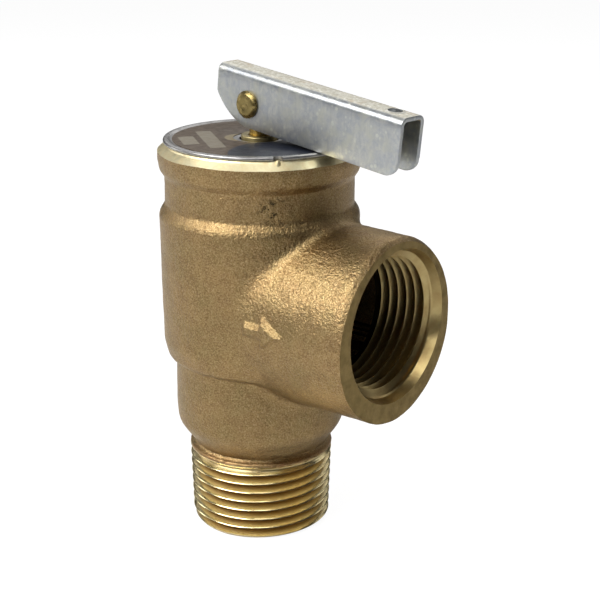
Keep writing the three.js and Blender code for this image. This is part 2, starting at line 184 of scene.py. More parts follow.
def smooth(piece, angle=35):
    piece.data.shade_smooth()
    piece.data.set_sharp_from_angle(angle=math.radians(angle))
    return piece


def finish_piece(piece, body, materials, nodes):
    """Gives a piece its materials, its body and the CAD nodes that it stands for."""
    piece.data.materials.clear()
    for material in materials:
        piece.data.materials.append(material)
    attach(piece, body)
    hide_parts(*nodes)
    return piece


# ---------------------------------------------------------------- threads
def thread_height(phase):
    """Height, 0 to 1, of a 60 degree thread with softened crest and root, at a phase of its pitch."""
    rise = 1 - 2 * abs((phase + 0.5) % 1 - 0.5)
    flat_root, flat_crest, soft = 0.04, 0.08, 0.05
    height = (rise - flat_root) / (1 - flat_root - flat_crest)
    low = 0.5 * (height + math.sqrt(height * height + soft * soft)) - 0.5 * soft
    return 1 - 0.5 * ((1 - low) + math.sqrt((1 - low) ** 2 + soft * soft)) + 0.5 * soft


def thread_solid(name, radius_at, low, high, phase=0.0, segments=144, rows=18):
    """A closed screw of right-hand thread about +Z. radius_at(z, height) gives its radius."""
    count = rows * math.ceil((high - low) / PITCH)
    heights = [thread_height(k / rows + phase) for k in range(rows)]
    vertices = []
    for k in range(count + 1):
        for j in range(segments):
            angle = 2 * math.pi * j / segments
            z = low + PITCH * (k / rows + j / segments)
            r = radius_at(z, heights[k % rows])
            vertices.append((r * math.cos(angle), r * math.sin(angle), z))

    def at(k, j):
        return k * segments + j if j < segments else (k + rows) * segments

    faces = [
        (at(k, j), at(k, j + 1), at(k + 1, j + 1), at(k + 1, j))
        for j in range(segments)
        for k in range(count if j < segments - 1 else count - rows)
    ]
    bottom = [at(0, j) for j in range(segments)] + [at(k, 0) for k in range(rows, 0, -1)]
    top = [at(count, j) for j in range(segments)]
    top += [at(count - k, segments - 1) for k in range(1, rows + 1)]
    for loop, z in ((bottom, low), (top, low + PITCH * (count / rows + 1))):
        vertices.append((0, 0, z))
        centre = len(vertices) - 1
        faces += [(loop[i], loop[(i + 1) % len(loop)], centre) for i in range(len(loop))]
    return add_object(name, vertices, faces)


def smoothstep(low, high, x):
    t = min(max((x - low) / (high - low), 0.0), 1.0)
    return t * t * (3 - 2 * t)


def inlet_screw():
    """The male thread, which runs out below the collar, with its chamfered end."""

    def radius_at(z, height):
        cut = 1 - smoothstep(13.0, 15.6, z)
        return INLET_CREST + z * TAPER - THREAD_DEPTH * (1 - height) * cut

    screw = thread_solid("screw", radius_at, -4.0, 17.5, phase=0.32)
    blank = turned(
        "blank",
        outline((0, 0), (12.35, 0, 0.15), (13.35, 1.3), (13.7, 3), (13.7, 15.0), (0, 15.0)),
        segments=144,
    )
    return boolean(screw, blank, "INTERSECT")


def outlet_tool():
    """What the outlet's machining takes away: the faced end, the plain mouth and the tapered thread."""
    depth = 13.0
    face = 40.0
    crest = 11.9

    def radius_at(z, height):
        return crest - (face - z) * TAPER + THREAD_DEPTH * height

    screw = thread_solid("screw", radius_at, face - depth - 5, face + 3, phase=0.3)
    start = face - 1.9
    slab = turned("slab", outline((0, face - depth), (20, face - depth), (20, start), (0, start)))
    boolean(screw, slab, "INTERSECT")
    mouth = outline(
        (0, 8),
        (crest - 0.75, 8),
        (crest - 0.4, face - depth),
        (crest - 0.08, face - 2.6),
        (13.15, face - 1.7, 0.4),
        (13.8, face),
        (13.8, face + 0.5),
        (0, face + 0.5),
    )
    tool = boolean(turned("mouth", mouth, 144), screw, "UNION")
    facing = turned("facing", outline((0, face), (22, face), (22, face + 6), (0, face + 6)), 64)
    turn = Matrix.Rotation(math.pi / 2, 4, "Y")
    moved(tool, Matrix.Translation((OUTLET_FACE - face, BORE_Y, BORE_Z)) @ turn)
    moved(facing, Matrix.Translation((OUTLET_FACE - face, 0, OUTLET_Z)) @ turn)
    return tool, facing


# ---------------------------------------------------------------- the body
def cast_outline():
    return outline(
        (0, 14.55),
        (13.0, 14.55, 0.2),
        (13.55, 14.85, 0.3),
        (13.4, 15.35, 0.3),
        (12.35, 15.85, 0.35),
        (13.7, 17.8, 1.0),
        (15.5, 20.3, 4.0),
        (15.72, 24.5, 4.0),
        (15.72, 32.6, 0.3),
        (17.1, 33.3, 1.6),
        (17.85, 36.4, 4.0),
        (18.2, 59.7, 0.6),
        (17.95, 60.5, 0.4),
        (17.1, 61.9, 0.4),
        (17.1, 66.9, 0.4),
        (17.95, 68.2, 1.2),
        (18.3, 70.1, 2.0),
        (18.3, 76, 0.5),
        (0, 76),
    )


def arrow_distance(x, z):
    """Signed distance in the plane to a flow arrow that points along +X."""
    shaft = np.maximum(np.abs(x - 12.6) - 2.1, np.abs(z) - 0.95)
    tip, slope = 18.2, 0.62
    head = np.maximum((np.abs(z) - (tip - x) * slope) * 0.85, 14.2 - x)
    return np.minimum(shaft, head)


def casting_distance(points, loop):
    """The cast skin as a signed distance: the turned body blended into the outlet's boss."""
    x, y, z = points.T
    body = signed_distance(loop, np.hypot(x, y), z)
    across = np.hypot(y, z - OUTLET_Z)
    draft = 0.012 * (OUTLET_FACE - x)
    worn = 1.6
    rub = np.clip((x - OUTLET_FACE + worn) / worn, 0, 1)
    above = np.clip((z - OUTLET_Z) / OUTLET_R + 0.2, 0, 1)
    barrel = across - OUTLET_R - draft + 0.8 * rub * rub * above
    boss = np.maximum(np.maximum(barrel, y - 16.3), np.maximum(x - OUTLET_FACE - 2, -x))
    blend = np.clip(FILLET - np.abs(body - boss), 0, None) / FILLET
    return np.minimum(body, boss) - blend * blend * FILLET / 4


def skin_waves(points):
    """The unevenness of the cast skin, in millimetres, at each point."""
    swell, ripple, pits = 9.0, 2.6, 0.9
    made = np.empty(len(points))
    for i, point in enumerate(points):
        p = Vector(point)
        wave = 0.10 * noise.noise(p / swell) + 0.05 * noise.noise(p / ripple)
        grain = noise.noise(p / pits + Vector((7, 3, 1)))
        made[i] = wave + 0.035 * grain - 0.10 * max(grain - 0.42, 0) * 2
    return made


def cast_body():
    """The unmachined casting: a voxel skin pulled on to the exact blended shape."""
    loop = cast_outline()
    body = turned("body", loop, 96)
    end = OUTLET_FACE + 2
    boss = turned("boss", outline((0, 0), (OUTLET_R, 0), (OUTLET_R, end), (0, end)), 96)
    moved(boss, Matrix.Translation((0, 0, OUTLET_Z)) @ Matrix.Rotation(math.pi / 2, 4, "Y"))
    boolean(body, boss, "UNION")
    remesh = body.modifiers.new("remesh", "REMESH")
    remesh.mode = "VOXEL"
    remesh.voxel_size = VOXEL * MM
    apply_modifiers(body)

    mesh = body.data
    points = np.empty(len(mesh.vertices) * 3)
    mesh.vertices.foreach_get("co", points)
    points = points.reshape(-1, 3) / MM
    step = 0.02
    for _ in range(3):
        value = casting_distance(points, loop)
        slope = np.stack(
            [
                (casting_distance(points + np.eye(3)[a] * step, loop) - value) / step
                for a in range(3)
            ],
            axis=1,
        )
        size = np.maximum((slope**2).sum(1), 0.25)
        points -= slope * np.clip(value / size, -0.6, 0.6)[:, None]
    normals = slope / np.linalg.norm(slope, axis=1, keepdims=True).clip(1e-6)
    side = np.clip(-(points[:, 1] + 10) / 4, 0, 1)
    arrow = np.clip(0.5 - arrow_distance(points[:, 0], points[:, 2] - ARROW_Z) / 0.9, 0, 1)
    raised = 0.85 * arrow * arrow * (3 - 2 * arrow) * side * (points[:, 0] > 9)
    points += normals * (raised + skin_waves(points))[:, None]
    radius = np.hypot(points[:, 0], points[:, 1])
    trim = np.where(points[:, 0] < 5, np.minimum(1, RIM_R / radius.clip(1)), 1)
    points[:, :2] *= trim[:, None]
    mesh.vertices.foreach_set("co", (points * MM).ravel())
    mesh.update()
    return body


def chamber_tool():
    """The inside of the body: waterway, seat, chamber, guide bore and the threaded bore at the top."""
    return turned(
        "chamber",
        outline(
            (0, -2),
            (9.3, -2),
            (9.3, 0.0),
            (8.8, 0.5),
            (8.8, 23, 0.6),
            (8.2, 25, 0.6),
            (8.2, 30, 0.25),
            (9.0, 30, 0.25),
            (9.6, 28.5, 0.4),
            (10.3, 22.5, 0.5),
            (12.2, 23, 0.6),
            (12.9, 24.5, 0.8),
            (12.9, 33.4, 0.5),
            (14.2, 34.7, 0.5),
            (14.2, 66),
            (14.9, 66.7),
            (14.9, 74),
            (0, 74),
        ),
        128,
    )


def top_tool():
    """What the facing of the top takes away, down to the bright chamfer."""
    return turned(
        "top",
        outline(
            (0, BODY_TOP),
            (16.95, BODY_TOP),
            (17.12, BODY_TOP - 0.28, 0.08),
            (18.9, 70.85),
            (21, 70.85),
            (21, 78),
            (0, 78),
        ),
        CAP_EDGE,
    )


def paint_body(mesh):
    """Slots: 0 cast skin, 1 inlet thread, 2 faced end, 3 inside painted dark as shade, 4 top chamfer, 5
    outlet socket.
    """
    socket_r, socket_start, throat_start = 14.1, 18.4, 14.5
    waterway_r, thread_top, shoulder_low = 9.4, 14.95, 14.3
    chamfer_low, chamfer_r, chamber_r = 70.5, 14.95, 15.2
    mesh.update()
    for face in mesh.polygons:
        x, y, z = face.center / MM
        r = math.hypot(x, y)
        across = math.hypot(y - BORE_Y, z - BORE_Z)
        outward = (x * face.normal.x + y * face.normal.y) / max(r, 0.01)
        if x > OUTLET_FACE - 0.02:
            face.material_index = 2
        elif x > socket_start and across < socket_r:
            face.material_index = 5
        elif x > throat_start and across < socket_r:
            face.material_index = 3
        elif z < thread_top and r > waterway_r and (r < 13.0 + z * TAPER or z < shoulder_low):
            face.material_index = 1
        elif z > chamfer_low and r > chamfer_r and (face.normal.z > 0.4 or z > 72):
            face.material_index = 4
        elif r < waterway_r or (r < chamber_r and outward < 0.1):
            face.material_index = 3


def stake():
    """Bronze driven up into the notch of the cap plate."""
    angle, away = math.radians(NOTCH_ANGLE), 17.05
    made = turned("stake", outline((0, 71), (0.6, 71), (0.55, 72.3), (0.3, 73.0, 0.15), (0, 73.05)), 32)
    return moved(made, Matrix.Translation((away * math.cos(angle), away * math.sin(angle), 0)))


def valve_body():
    body = cast_body()
    tool, facing = outlet_tool()
    boolean(body, facing, "DIFFERENCE")
    boolean(body, top_tool(), "DIFFERENCE")
    boolean(body, stake(), "UNION")
    boolean(body, inlet_screw(), "UNION")
    boolean(body, tool, "DIFFERENCE")
    boolean(body, chamber_tool(), "DIFFERENCE")
    smooth(body, 40)
    body.name = "valve_casting"
    return body


# ---------------------------------------------------------------- the lever
LEVER_HALF = 2.9
LEVER_SHEET = 0.75
LEVER_BEND = 1.4
LEVER_TOP = 5.85
LEVER_BOTTOM = -4.2
LEVER_HEEL = -7.93
LEVER_TOE = 34.57
TOE_ROUND = 2.7
EDGE = 0.13


def lever_stations():
    """Places along the lever with the height of the flanges' lower edge there."""
    heel = [(LEVER_HEEL, 0.8), (-4.9, -3.25), (-0.5, LEVER_BOTTOM)]
    made = []
    for k in range(17):
        t = k / 16
        weights = ((1 - t) ** 2, 2 * t * (1 - t), t * t)
        made.append(tuple(sum(w * p[a] for w, p in zip(weights, heel)) for a in (0, 1)))
    straight = LEVER_TOE - TOE_ROUND
    made += [(-0.5 + (straight + 0.5) * k / 24, LEVER_BOTTOM) for k in range(1, 24)]
    for k in range(13):
        a = math.pi / 2 * k / 12
        made.append((straight + TOE_ROUND * math.sin(a), LEVER_BOTTOM + TOE_ROUND * (1 - math.cos(a))))
    return made


def mirrored(path):
    return [(-y, h) for y, h in reversed(path)]


def lever_loop(low, inset):
    """Points (y, h) of the folded section, outer then inner, equally many, from lower edge to lower edge."""

    def side(offset, cut):
        half, top, bend = LEVER_HALF - offset, LEVER_TOP - offset, LEVER_BEND - offset
        centre_y, centre_h = half - bend, top - bend
        start = low + cut
        path = [(-half, start + (centre_h - start) * k / 8) for k in range(8)]
        for k in range(9):
            a = math.pi - math.pi / 2 * k / 8
            path.append((-centre_y + bend * math.cos(a), centre_h + bend * math.sin(a)))
        path += [(-centre_y + 2 * centre_y * k / 6, top) for k in range(1, 6)]
        return path + mirrored(path[:17])

    outer, inner = side(inset, inset + EDGE), side(LEVER_SHEET - inset, inset + EDGE)
    lip = EDGE * 0.3
    edge = -LEVER_HALF + inset
    return outer, inner, [(edge + lip, low + inset + lip), (edge + EDGE, low + inset)]


def folded_lever():
    """The lever's sheet, with its rounded cut edges, in its own frame with the pin at the origin."""
    stations = lever_stations()
    (heel, heel_low), (toe, toe_low) = stations[0], stations[-1]
    rounds = [math.pi / 2 * k / 3 for k in range(4)]
    ends = [(EDGE * (1 - math.cos(a)), EDGE * (1 - math.sin(a))) for a in rounds]
    loops = [(heel + along, heel_low - EDGE * 0.2, inset) for along, inset in ends]
    loops += [(s, low, 0.0) for s, low in stations if heel + EDGE * 1.5 < s < toe - EDGE * 1.5]
    loops += [(toe - along, toe_low - EDGE, inset) for along, inset in reversed(ends)]

    vertices, faces = [], []
    for s, low, inset in loops:
        outer, inner, lip = lever_loop(low, inset)
        other = mirrored(lip)
        back = [
            (-LEVER_HALF + LEVER_SHEET - inset - EDGE, low + inset),
            (-LEVER_HALF + LEVER_SHEET - inset - EDGE * 0.3, low + inset + EDGE * 0.3),
        ]
        ring = outer + other + mirrored(back) + inner[::-1] + back[::-1] + lip[::-1]
        vertices += [(s, y, h) for y, h in ring]
    size, count = len(ring), len(outer)
    for i in range(len(loops) - 1):
        for j in range(size):
            k = (j + 1) % size
            faces.append((i * size + j, i * size + k, (i + 1) * size + k, (i + 1) * size + j))
    for base in (0, (len(loops) - 1) * size):
        inner_at = [base + size - 1 - len(lip) - len(back) - j for j in range(count)]
        for j in range(count - 1):
            faces.append((base + j, base + j + 1, inner_at[j + 1], inner_at[j]))
        lower_right = [base + count + j for j in range(4)]
        faces.append((base + count - 1, *lower_right, inner_at[count - 1]))
        lower_left = [base + size - 1 - j for j in range(4)]
        faces.append((base, *lower_left, inner_at[0]))
    return add_object("lever_sheet", vertices, faces)


def lever_frame():
    return (
        Matrix.Translation(PIVOT)
        @ Matrix.Rotation(LEVER_YAW, 4, "Z")
        @ Matrix.Rotation(LEVER_DROOP, 4, "Y")
    )


def lever():
    sheet = folded_lever()
    hole_s, hole_r = 30.7, 1.25
    burr = turned(
        "burr",
        outline((hole_r, 5.5), (1.6, 5.5), (1.72, 5.86), (1.4, 5.96, 0.05), (hole_r, 5.96, 0.04)),
        48,
    )
    boolean(sheet, moved(burr, Matrix.Translation((hole_s, 0, 0))), "UNION")
    punch = turned("punch", outline((0, 3), (hole_r, 3), (hole_r, 8), (0, 8)), 48)
    boolean(sheet, moved(punch, Matrix.Translation((hole_s, 0, 0))), "DIFFERENCE")
    pin = turned("pin", outline((0, -5), (PIN_HOLE_R, -5), (PIN_HOLE_R, 5), (0, 5)), 48)
    boolean(sheet, moved(pin, Matrix.Rotation(math.pi / 2, 4, "X")), "DIFFERENCE")
    sheet.name = "lever_sheet"
    return smooth(moved(sheet, lever_frame()), 32)


def rivet():
    """The rivet lies along the lever's -Y with its pressed head there, and is peened over its washer."""
    near, far = LEVER_HALF + 0.02, -LEVER_HALF - 0.67
    head = outline(
        (0, far - 0.8),
        (1.3, far - 0.8, 0.25),
        (1.62, far - 0.02, 0.05),
        (0.93, far - 0.02),
        (0.93, near),
        (2.42, near, 0.1),
        (2.45, near + 0.42, 0.25),
        (1.9, near + 0.88, 0.5),
        (1.2, near + 0.9, 0.4),
        (0.5, near + 0.84, 0.3),
        (0, near + 0.84),
    )
    made = turned("rivet", head, 96)
    for vertex in made.data.vertices:
        if vertex.co.z > (near + 0.3) * MM:
            dent = noise.noise(vertex.co / MM / 0.8)
            vertex.co.z += 0.05 * MM * (dent - 0.5) * min(1.0, vertex.co.xy.length / MM)
    return smooth(moved(made, lever_frame() @ Matrix.Rotation(math.pi / 2, 4, "X")), 40)


def rivet_washer():
    far = -LEVER_HALF - 0.04
    back, outer = far - 0.6, 2.0
    corners = ((PIN_HOLE_R, back, 0.06), (outer, back, 0.15), (outer, far, 0.06), (PIN_HOLE_R, far, 0.06))
    section = outline(*corners)
    made = turned("rivet_collar", section, 64)
    return smooth(moved(made, lever_frame() @ Matrix.Rotation(math.pi / 2, 4, "X")), 40)


# ---------------------------------------------------------------- the top
def cap_plate():
    under = BODY_TOP + 0.01
    notch_angle = math.radians(NOTCH_ANGLE)
    plate = turned(
        "cap_disc",
        outline(
            (3.6, under),
            (16.9, under, 0.1),
            (17.24, under + 0.3, 0.25),
            (17.2, 73.6, 0.38),
            (16.35, 73.6, 0.3),
            (15.85, CAP_FACE, 0.15),
            (15.5, 73.34),
            (3.6, 73.34, 0.06),
            steps=6,
        ),
        CAP_EDGE,
    )
    notch = turned("notch", outline((0, 70), (0.85, 70), (0.85, 75), (0, 75)), 32)
    away = 17.35
    place = (away * math.cos(notch_angle), away * math.sin(notch_angle), 0)
    boolean(plate, moved(notch, Matrix.Translation(place)), "DIFFERENCE")
    plate.name = "cap_disc"
    return smooth(plate, 35)


def cap_label():
    inner, outer, top = 4.7, 15.6, 73.45
    section = outline((inner, CAP_FACE), (outer, CAP_FACE), (outer, top, 0.04), (inner, top, 0.04))
    return smooth(turned("label_disc", section, CAP_EDGE), 35)


def compression_screw():
    made = turned(
        "screw_neck",
        outline(
            (2.0, 66.3),
            (14.1, 66.3, 0.3),
            (14.6, 66.8, 0.2),
            (14.6, 70.5, 0.3),
            (4.6, 70.5, 0.4),
            (3.3, 71.3, 0.3),
            (3.3, 74.05, 0.25),
            (2.0, 74.05, 0.15),
            (2.0, 69.8, 0.05),
            (3.3, 69.8, 0.05),
            (3.3, 68.2, 0.05),
            (2.0, 68.2, 0.05),
        ),
        96,
    )
    for side in (-1, 1):
        hole = turned("hole", outline((0, 68), (1.25, 68), (1.25, 72), (0, 72)), 32)
        boolean(made, moved(hole, Matrix.Translation((side * 7.5, 0, 0))), "DIFFERENCE")
    made.name = "screw_neck"
    return smooth(made)


def stem():
    low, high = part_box("stem")[0].z / MM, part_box("stem")[1].z / MM
    made = turned(
        "stem_rod",
        outline(
            (0, low),
            (3.6, low, 0.2),
            (3.6, low + 1.8, 0.2),
            (1.8, low + 1.8, 0.1),
            (1.8, 42.4, 0.05),
            (1.35, 42.4),
            (1.35, 43.1),
            (1.8, 43.1, 0.05),
            (1.8, high, 0.5),
            (0, high),
        ),
        64,
    )
    eye = turned("eye", outline((0, -4), (PIN_HOLE_R, -4), (PIN_HOLE_R, 4), (0, 4)), 32)
    turn = Matrix.Rotation(LEVER_YAW, 4, "Z") @ Matrix.Rotation(math.pi / 2, 4, "X")
    boolean(made, moved(eye, Matrix.Translation(PIVOT) @ turn), "DIFFERENCE")
    made.name = "stem_rod"
    return smooth(made)


# ---------------------------------------------------------------- the inside
def disc_holder():
    return smooth(
        turned(
            "holder_cup",
            outline(
                (2.0, 36),
                (4.2, 36, 0.2),
                (4.2, 33.6, 0.2),
                (10.5, 33.6, 0.2),
                (10.5, 31),
                (11.0, 31),
                (11.0, 30.35),
                (10.5, 30.35),
                (10.5, 30.2, 0.05),
                (11.6, 30.2, 0.3),
                (11.6, 35, 0.4),
                (13.85, 36, 0.4),
                (13.85, 57, 0.4),
                (12.5, 57, 0.3),
                (12.5, 39.2, 0.5),
                (2.0, 39.2, 0.1),
            ),
            128,
        )
    )


def valve_disc():
    return smooth(
        turned(
            "disc_pad",
            outline((0, 30.02), (9.8, 30.02, 0.3), (9.8, 31, 0.1), (10.3, 31, 0.1), (10.3, 33, 0.3), (0, 33)),
            96,
        )
    )


def spring_seat(name, face, side):
    back = face - side * 1.4
    tip = face + side * 1.4
    return smooth(
        turned(
            name,
            outline(
                (2.4, back, 0.1),
                (10.4, back, 0.25),
                (10.4, face, 0.25),
                (6.9, face, 0.2),
                (6.5, tip, 0.3),
                (2.4, tip, 0.1),
            ),
            96,
        )
    )


def coil_spring():
    """A compression spring with closed, ground ends."""
    low, high = (corner.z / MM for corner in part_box("spring"))
    mean, wire, active, dead = 8.6, 1.2, 5, 1
    turns = active + 2 * dead
    bottom, top = low + wire * 0.5, high - wire * 0.5
    closed = 2 * wire + 0.1
    rise = (top - bottom - 2 * dead * closed) / active
    sides, steps = 16, turns * 48
    vertices = []
    for i in range(steps + 1):
        n = turns * i / steps
        z = bottom + closed * min(n, dead)
        z += rise * min(max(n - dead, 0), active)
        z += closed * max(n - dead - active, 0)
        angle = 2 * math.pi * n
        for j in range(sides):
            a = 2 * math.pi * j / sides
            r = mean + wire * math.cos(a)
            vertices.append((r * math.cos(angle), r * math.sin(angle), z + wire * math.sin(a)))
    faces = [
        (i * sides + j, i * sides + (j + 1) % sides, (i + 1) * sides + (j + 1) % sides, (i + 1) * sides + j)
        for i in range(steps)
        for j in range(sides)
    ]
    faces += [tuple(range(sides)), tuple(steps * sides + j for j in range(sides))]
    coil = add_object("coil_spring", vertices, faces)
    ground = turned("ground", outline((0, low), (14, low), (14, high), (0, high)), 64)
    boolean(coil, ground, "INTERSECT")
    coil.name = "coil_spring"
    return smooth(coil, 40)


def ring(name, inner, outer, low, high, rounding=0.1, gap=0.0):
    corners = ((inner, low), (outer, low), (outer, high), (inner, high))
    made = turned(name, outline(*((r, z, rounding) for r, z in corners)), 96)
    if gap:
        mesh = bpy.data.meshes.new("gap")
        cut = bmesh.new()
        bmesh.ops.create_cube(cut, size=1)
        cut.to_mesh(mesh)
        cut.free()
        tool = bpy.data.objects.new("gap", mesh)
        bpy.context.scene.collection.objects.link(tool)
        scale = Matrix.Diagonal((outer * MM, gap * MM, (high - low + 1) * MM, 1))
        mesh.transform(Matrix.Translation((outer * 0.75 * MM, 0, (low + high) / 2 * MM)) @ scale)
        boolean(made, tool, "DIFFERENCE")
        made.name = name
    return smooth(made)


def seal_ring():
    low, high = (corner.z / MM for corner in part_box("stem_o_ring"))
    section = (high - low) / 2
    middle = 1.9 + section
    sides = 24
    path = [
        Vector((middle + section * math.cos(a), low + section + section * math.sin(a)))
        for a in (2 * math.pi * k / sides for k in range(sides))
    ]
    return smooth(turned("seal_ring", path, 64), 60)


# ---------------------------------------------------------------- materials
class Look:
    """A material with a Principled shader and a few helpers for its procedural detail."""

    def __init__(self, name, color, roughness, metallic=1.0):
        self.material = bpy.data.materials.new(name)
        self.material.use_nodes = True
        self.nodes = self.material.node_tree.nodes
        self.links = self.material.node_tree.links
        self.shader = self.nodes["Principled BSDF"]
        self.shader.inputs["Base Color"].default_value = (*color, 1)
        self.shader.inputs["Roughness"].default_value = roughness
        self.shader.inputs["Metallic"].default_value = metallic
        self.place = self.nodes.new("ShaderNodeTexCoord").outputs["Object"]

    def put(self, socket, value):
        if isinstance(value, bpy.types.NodeSocket):
            self.links.new(value, socket)
        elif hasattr(socket.default_value, "__len__") and not hasattr(value, "__len__"):
            socket.default_value = [value] * len(socket.default_value)
        else:
            socket.default_value = value

    def stretched(self, scale, location=(0, 0, 0)):
        node = self.nodes.new("ShaderNodeMapping")
        self.links.new(self.place, node.inputs["Vector"])
        node.inputs["Scale"].default_value = scale
        node.inputs["Location"].default_value = location
        return node.outputs["Vector"]

    def noise(self, size, detail=2.0, roughness=0.5, distortion=0.0, place=None):
        """Noise whose features are about size millimetres across."""
        node = self.nodes.new("ShaderNodeTexNoise")
        self.links.new(place or self.place, node.inputs["Vector"])
        node.inputs["Scale"].default_value = 1 / (size * MM)
        node.inputs["Detail"].default_value = detail
        node.inputs["Roughness"].default_value = roughness
        node.inputs["Distortion"].default_value = distortion
        return node.outputs["Fac"]

    def cells(self, size):
        """Distance from the nearest of scattered points about size millimetres apart."""
        node = self.nodes.new("ShaderNodeTexVoronoi")
        self.links.new(self.place, node.inputs["Vector"])
        node.inputs["Scale"].default_value = 1 / (size * MM)
        return node.outputs["Distance"]

    def math(self, operation, a, b=0.0):
        node = self.nodes.new("ShaderNodeMath")
        node.operation = operation
        self.put(node.inputs[0], a)
        self.put(node.inputs[1], b)
        return node.outputs[0]

    def ramp(self, value, low, high, start=0.0, end=1.0):
        node = self.nodes.new("ShaderNodeMapRange")
        self.put(node.inputs["Value"], value)
        for name, number in (("From Min", low), ("From Max", high), ("To Min", start), ("To Max", end)):
            node.inputs[name].default_value = number
        return node.outputs["Result"]

    def mix(self, amount, a, b):
        node = self.nodes.new("ShaderNodeMix")
        node.data_type = "RGBA"
        self.put(node.inputs["Factor"], amount)
        sockets = [socket for socket in node.inputs if socket.type == "RGBA"]
        for socket, value in zip(sockets, (a, b)):
            self.put(socket, (*value, 1) if isinstance(value, tuple) else value)
        return [socket for socket in node.outputs if socket.type == "RGBA"][0]

    def bump(self, height, depth, strength=1.0):
        """Bump of the given depth in millimetres, laid over any bump already there."""
        node = self.nodes.new("ShaderNodeBump")
        node.inputs["Strength"].default_value = strength
        node.inputs["Distance"].default_value = depth * MM
        self.links.new(height, node.inputs["Height"])
        under = self.shader.inputs["Normal"]
        if under.is_linked:
            self.links.new(under.links[0].from_socket, node.inputs["Normal"])
        self.links.new(node.outputs["Normal"], under)

    def axis(self, index, place=None):
        node = self.nodes.new("ShaderNodeSeparateXYZ")
        self.links.new(place or self.place, node.inputs[0])
        return node.outputs[index]

    def distance(self, centre, flat=False):
        """Distance in metres from a centre in millimetres, or from the upright line through it."""
        node = self.nodes.new("ShaderNodeVectorMath")
        node.operation = "LENGTH"
        x, y, z = (-MM * c for c in centre)
        scale, location = ((1, 1, 0), (x, y, 0)) if flat else ((1, 1, 1), (x, y, z))
        self.links.new(self.stretched(scale, location=location), node.inputs[0])
        return node.outputs["Value"]

    def color(self, value):
        self.put(self.shader.inputs["Base Color"], value)

    def roughness(self, value):
        self.put(self.shader.inputs["Roughness"], value)


def cast_bronze():
    """Shot-blasted sand casting: grains whose pale specks are a painted highlight, brown stain and a few
    small pits painted as near-black spots, which is painted shade.
    """
    look = Look("cast_bronze", (0.44, 0.30, 0.15), 0.4)
    grain = look.noise(0.5, 3, 0.6)
    speck = look.noise(0.26, 2, 0.6)
    patch = look.noise(8, 3, 0.6)
    blotch = look.noise(2.2, 3, 0.6)
    blowholes = look.ramp(look.distance((12.8, -11.6, 64.2)), 1.2 * MM, 3.6 * MM, 1, 0)
    pits = look.math("MULTIPLY", look.ramp(look.noise(0.8, 3, 0.7), 0.52, 0.6), blowholes)
    low = look.ramp(look.axis(2), 14.4 * MM, 15.9 * MM, 0.8, 0)
    collar = look.math("MULTIPLY", low, look.ramp(blotch, 0.3, 0.6))
    tone = look.mix(look.ramp(patch, 0.35, 0.65), (0.315, 0.225, 0.098), (0.395, 0.26, 0.114))
    tone = look.mix(look.ramp(blotch, 0.4, 0.7, 0, 0.7), tone, (0.28, 0.175, 0.08))
    # Pale specks on the raised grains are a painted highlight; the low specks below are darker.
    tone = look.mix(look.ramp(speck, 0.5, 0.68, 0, 0.5), tone, (0.62, 0.465, 0.25))
    tone = look.mix(look.ramp(speck, 0.32, 0.47, 0.62, 0), tone, (0.165, 0.105, 0.046))
    tone = look.mix(collar, tone, (0.42, 0.20, 0.09))
    # Near-black spots for the pits: painted shade of small holes, drawn in colour only.
    tone = look.mix(pits, tone, (0.035, 0.026, 0.014))
    look.color(tone)
    look.roughness(look.ramp(grain, 0.3, 0.72, 0.43, 0.33))
    look.bump(look.noise(1.5, 3, 0.6), 0.10)
    look.bump(look.noise(0.55, 3, 0.6), 0.17)
    look.bump(speck, 0.07)
    return look.material


def thread_bronze():
    """The cut inlet thread: bright at its crests, and darker brown towards its roots as painted shade."""
    look = Look("thread_bronze", (0.84, 0.70, 0.40), 0.2)
    marks = look.noise(0.35, 3, 0.6, place=look.stretched((0.12, 0.12, 1.0)))
    stain = look.noise(3.5, 3, 0.6)
    crest = look.math("ADD", look.math("MULTIPLY", look.axis(2), TAPER), INLET_CREST * MM)
    depth = look.math("SUBTRACT", crest, look.distance((0, 0, 0), flat=True))
    # Darker brown with depth into the thread: painted shade in the roots.
    root = look.ramp(depth, 0.25 * MM, 1.15 * MM)
    tone = look.mix(look.ramp(stain, 0.35, 0.7), (0.95, 0.82, 0.46), (0.82, 0.66, 0.34))
    look.color(look.mix(root, tone, (0.44, 0.30, 0.13)))
    look.roughness(look.math("ADD", look.ramp(marks, 0.3, 0.7, 0.18, 0.28), look.math("MULTIPLY", root, 0.2)))
    look.bump(marks, 0.02)
    return look.material


def socket_bronze():
    """The outlet's threaded socket and its mouth, cut but dull with oil."""
    look = Look("socket_bronze", (0.52, 0.41, 0.20), 0.34)
    stain = look.noise(2.5, 3, 0.6)
    look.color(look.mix(look.ramp(stain, 0.35, 0.7), (0.54, 0.42, 0.19), (0.44, 0.31, 0.13)))
    look.roughness(look.ramp(stain, 0.3, 0.7, 0.28, 0.38))
    look.bump(look.noise(0.4, 3, 0.6), 0.02)
    return look.material


def chamfer_bronze():
    """The bright chamfer at the top, cut last and hardly touched since."""
    look = Look("chamfer_bronze", (0.88, 0.78, 0.48), 0.38)
    stain = look.noise(1.6, 3, 0.6)
    look.color(look.mix(look.ramp(stain, 0.35, 0.75), (0.95, 0.86, 0.56), (0.82, 0.68, 0.38)))
    look.roughness(look.ramp(stain, 0.3, 0.7, 0.34, 0.48))
    look.bump(look.noise(0.35, 3, 0.6), 0.03)
    return look.material


